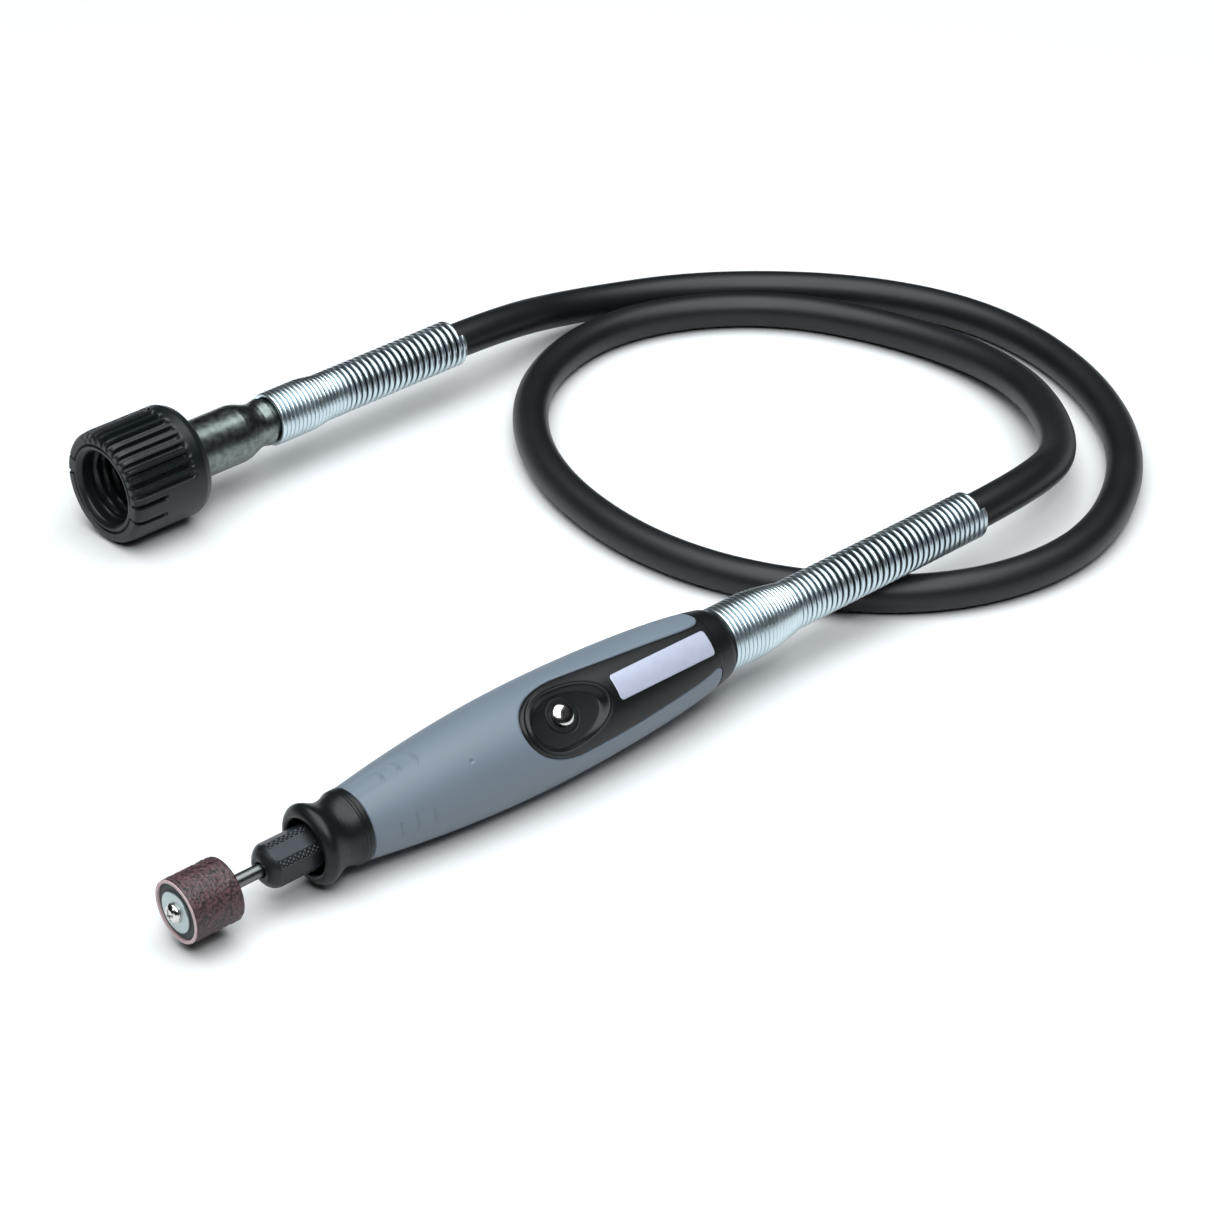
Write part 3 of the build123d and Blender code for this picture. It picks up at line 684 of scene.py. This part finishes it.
on_strip = step_between(hexagon - nut_r[:, None], 0.0, 0.06) * step_between(nut_x, -9.9, -9.3)[:, None]
u, v = nut_x[:, None] / KNURL_ALONG, angle * 5.3 / KNURL_AROUND
knurl = np.minimum(zigzag(u + v * 0.992), zigzag(u - v * 0.992))
shape = shape - 0.26 * on_strip * (1 - knurl)
inside = np.array([(2.0, 3.6), (-6.8, 3.6), (-8.3, 2.5), (-10.3, 2.5), (-10.3, 1.8), (-11.7, 1.8),
                   (-11.9, 2.0)])
nut_x = np.concatenate([nut_x, inside[:, 0], nut_x[:1]])
nut_grid_r = np.concatenate([shape, np.repeat(inside[:, 1:], 301, 1), shape[:1]])
make_piece("chuck_nut_shell", [put(polar(nut_x[:, None], nut_grid_r, angle), HAND)], "chuck_nut",
           black_oxide, ["chuck_nut"], angle=35)

# %% [markdown]
# ## The sanding drum
# A rubber drum is clamped between two washers by a small cross-head screw, and it swells to hold a band
# of coarse abrasive cloth. The grit is a random height with its neighbours averaged once, so that
# single grains stand out. The cloth's pale edge shows in front. The cross in the screw is a height cut
# by two crossing bars.

# %% Band, drum and washers
grit_finish = finish("grit_finish", (0.004, 0.0015, 0.002), (0.088, 0.040, 0.047), 0.45,
                      contrast=4.0, spots=1500, grain=2600,
                     bump=0.16, rough_range=0.25)
fibre_finish = finish("fibre_finish", (0.36, 0.24, 0.25), (0.58, 0.44, 0.45), 0.8, spots=900, grain=2400,
                      bump=0.05, sheen=0.3)
random = np.random.default_rng(7)
grains = random.random((46, 130)) ** 1.8
grains = (grains + 0.2 * np.roll(grains, 1, 1) + 0.2 * np.roll(grains, 1, 0)) / 1.4
grains = np.concatenate([grains, grains[:, :1]], 1)
band_x = np.linspace(-33.72, -21.25, 46)
ends = np.clip(np.minimum(band_x + 33.72, -21.25 - band_x) / 0.35, 0, 1) ** 0.5
band_r = 7.24 + (0.36 * ends)[:, None] * (0.15 + 0.85 * grains)
inner_r = np.full((1, 131), 6.9)
angle = np.linspace(0, 2 * math.pi, 131)[None, :]
band_x = np.concatenate([band_x[:1], band_x, band_x[-1:], band_x[:1]])[:, None]
band_grid = put(polar(band_x, np.concatenate([inner_r, band_r, inner_r, inner_r]), angle), HAND)
make_piece("abrasive_coat", [band_grid], "sanding_band", grit_finish, angle=180)
backing_outline = soften([(-33.9, 6.62), (-33.9, 7.36), (-33.7, 7.4), (-33.6, 7.2), (-21.2, 7.2),
                          (-21.2, 6.62)], 0.08)
make_piece("band_backing", [lathe(backing_outline, HAND, 120)], "sanding_band", fibre_finish,
           ["sanding_band"])
drum_outline = soften([(-33.5, 1.6), (-33.5, 6.55), (-21.5, 6.55), (-21.5, 1.6)], 0.3)
make_piece("rubber_core", [lathe(drum_outline, HAND)], "mandrel", drum_rubber, ["rubber_drum"])
washer_outlines = [soften([(x, bore), (x, 4.8), (x + 0.6, 4.8), (x + 0.6, bore)], 0.16)
                   for x, bore in ((-34.1, 0.9), (-21.5, 1.6))]
make_piece("washer_pair", [lathe(outline, HAND) for outline in washer_outlines], "mandrel", zinc_washer,
           ["drum_washers"])

# %% Drum screw
screw_profile = np.array([(-35.7, 0.0), (-35.7, 0.9), (-35.55, 1.45), (-35.2, 1.95), (-34.75, 2.28),
                          (-34.4, 2.35), (-34.12, 2.3), (-34.12, 0.85), (-26.3, 0.85), (-26.0, 0.6),
                          (-26.0, 0.0)])
run = np.concatenate([[0], np.cumsum(np.hypot(*np.diff(screw_profile, axis=0).T))])
even = np.concatenate([np.linspace(0, run[6], 60), run[7:]])
screw_x, screw_r = [np.interp(even, run, screw_profile[:, k])[:, None] for k in (0, 1)]
angle = np.linspace(0, 2 * math.pi, 145)[None, :]
bar_y, bar_z = np.abs(screw_r * np.sin(angle + 0.4)), np.abs(screw_r * np.cos(angle + 0.4))
cross = np.maximum(step_between(-bar_y, -0.34, -0.22) * step_between(-bar_z, -1.5, -1.1),
                   step_between(-bar_z, -0.34, -0.22) * step_between(-bar_y, -1.5, -1.1))
depth = 0.75 * cross * (screw_x < -34.5) * (1 - 0.35 * screw_r / 1.5)
make_piece("cross_head_screw", [put(polar(screw_x + depth, screw_r, angle), HAND)], "drum_screw",
           polished_steel, ["drum_screw"], angle=35)

# %% [markdown]
# ## The two springs
# At each end the hose passes through a spring of zinc-plated wire that keeps it from kinking. The turns
# lie close over the socket and open toward the free end, so each spring is a table of stations: place,
# radius of the wire's centre, and number of turns so far.

# %% Springs
def turns_table(stations):
    """Stations of (x, outer radius, pitch from here) become (x, outer radius, turns so far)."""
    x, outer, pitch = np.array(stations, float).T
    gained = np.diff(x) / pitch[:-1]
    return np.column_stack([x, outer, np.concatenate([[0], np.cumsum(gained)])])


front_table = turns_table([(118.95, 8.0, 1.8), (119.6, 8.0, 1.27), (130.4, 8.0, 1.2), (134.3, 7.55, 1.05),
                           (138.8, 6.75, 1.1), (141.2, 6.2, 1.4), (143.6, 6.2, 1.55), (148.6, 6.2, 1.7),
                           (154.6, 6.2, 1.92), (179.6, 6.2, 1.8), (191, 6.2, 1.65), (201.4, 6.2, 1.4),
                           (202.7, 6.2, 1.3)])
motor_table = turns_table([(51.6, 7.0, 2.2), (52.4, 7.0, 1.31), (64.0, 7.0, 1.3), (69.0, 6.3, 1.08),
                           (71.3, 6.3, 1.25), (73.8, 6.3, 1.6), (76.0, 6.3, 1.75), (80.0, 6.3, 1.86),
                           (88.0, 6.3, 1.96),
                           (112.6, 6.3, 1.5), (114.1, 6.3, 1.4)])
FRONT_WIRE, MOTOR_WIRE = 1.22, 1.30
front_table[:, 1] -= FRONT_WIRE / 2
motor_table[:, 1] -= MOTOR_WIRE / 2
make_piece("handpiece_spring", [coil(2.2, front_table, FRONT_WIRE, HAND, 40, 10)], "root", spring_wire,
           ["front_spring"], angle=70)
make_piece("coupling_spring", [coil(1.0, motor_table, MOTOR_WIRE, MOTOR, 40, 10)], "root", spring_wire,
           ["motor_spring"], angle=70)
print("turns", round(front_table[-1, 2], 1), round(motor_table[-1, 2], 1))

# %% [markdown]
# ## The ferrule and the coupling nut
# The ferrule is a steel tube, plated and then swaged down on the hose. The nut is a black moulding with
# straight ribs in two broad groups. Between the groups lies a smooth panel with two slots, where a tab
# of the inner ring reaches the rim. Its outline is turned, and the ribs, slots, face line and thread
# are differences in radius or place that depend on the angle. The flange that the nut pulls on is kept
# smaller than the crests of the thread, so that the nut can slide back over it.

# %% Ferrule
ferrule_outline = soften([(17.0, 6.2), (17.0, 8.55), (19.2, 8.55), (19.2, 7.6), (41.4, 7.6), (43.0, 7.3),
                          (46.8, 6.0), (48.2, 5.85), (50.8, 6.35), (50.9, 5.5),
                          (62.0, 5.5), (62.0, 4.72), (44.4, 4.72),
                          (41.5, 4.72), (41.5, 6.2)], 0.5)
make_piece("swaged_ferrule", [lathe(ferrule_outline, MOTOR)], "root", ferrule_plate,
           ["ferrule"], angle=35)

# %% Coupling nut
RIB_PITCH, RIBS, RIB_FIRST, NUT_OUT = 10.3, 12, -82.4, 14.65
nut_outline = resample(soften([(1.0, 9.55), (0.0, 10.6), (0.0, 13.6), (1.0, 14.4), (3.0, 14.65),
                               (21.6, 14.65), (23.4, 13.8), (24.0, 13.0), (24.0, 7.8), (20.0, 7.8),
                               (20.0, 9.7), (14.5, 9.7),
                               (14.5, 9.55)], 0.6), 0.36)
nut_x, nut_r = nut_outline[:, :1], nut_outline[:, 1:]
angle = np.linspace(0, 2 * math.pi, 397)[None, :]
degrees = np.degrees(angle)
in_group = (degrees - RIB_FIRST) % 180
rib_number = in_group / RIB_PITCH
from_rib = np.abs(rib_number - np.round(rib_number)) * math.radians(RIB_PITCH) * NUT_OUT
ribbed = (in_group < RIB_PITCH * (RIBS - 1)).astype(float)
far_group = ((degrees - RIB_FIRST) % 360 >= 180).astype(float)
valley = (ribbed * step_between(from_rib, 0.45, 0.95) * step_between(-nut_x, -18.8, -17.4)
          * (1 - far_group * step_between(-nut_x, -4.6, -3.6)))
beside_slot = np.minimum(np.abs((degrees + 89 + 90) % 180 - 90), np.abs((degrees + 109 + 90) % 180 - 90))
slot = step_between(-beside_slot, -2.5, -1.5) * step_between(-nut_x, -9.6, -8.9)
outside = step_between(nut_r, 12.0, 13.2)
groove = outside * (1.15 * valley + 1.2 * np.clip(slot - valley, 0, 1)) + 0.10 * valley * outside
between_slots = np.abs((degrees + 99 + 90) % 180 - 90) < 9.5
face = step_between(-nut_x, -0.5, -0.1) * (nut_r > 10.5)
ring_line = np.exp(-((nut_r - 11.5) / 0.16) ** 2) * ~between_slots
spoke = step_between(-beside_slot, -1.9, -0.9) * (nut_r > 11.5)
sunk = 0.45 * face * np.maximum(ring_line, spoke)
PITCH = 2.5
bore = (nut_r < 9.62) & (nut_x > 3.0) & (nut_x < 14.4)
thread = step_between(zigzag(nut_x / PITCH - angle / (2 * math.pi) + 0.62), 0.35, 0.75)
grown = 0.85 * thread * step_between(nut_x, 3.2, 4.4) * bore
make_piece("ribbed_nut", [put(polar(nut_x + sunk, nut_r - groove - grown, angle), MOTOR)], "coupling_nut",
           nut_moulding, ["coupling_nut"], angle=40)

# %% [markdown]
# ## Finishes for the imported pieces
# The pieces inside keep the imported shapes. Each takes one of the finishes above by its own name.

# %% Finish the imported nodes
node_finish = {
    "spindle": machined_steel, "lock_collar": machined_steel, "core_front_tip": machined_steel,
    "drive_tip": machined_steel, "thrust_washer": machined_steel, "collet": dark_steel,
    "mandrel_shank": dark_steel, "hose_socket": ferrule_plate, "hose_ferrule": ferrule_plate,
    "core_handpiece_end": core_wire, "core_motor_end": core_wire, "hose_handpiece_end": hose_rubber,
    "hose_motor_end": hose_rubber, "bearing_clip": dark_steel, "preload_washer": machined_steel,
    "drive_bush": bronze}
for name, node in nodes.items():
    chosen = node_finish.get(name, bearing_steel if "bearing" in name else None)
    if chosen is not None:
        node.data.materials.clear()
        node.data.materials.append(chosen)
        node.data.polygons.foreach_set("material_index", np.zeros(len(node.data.polygons), np.int32))
        smooth(node.data, 30)
print("left with the packed finish:", [n for n in nodes if n not in node_finish and "bearing" not in n])
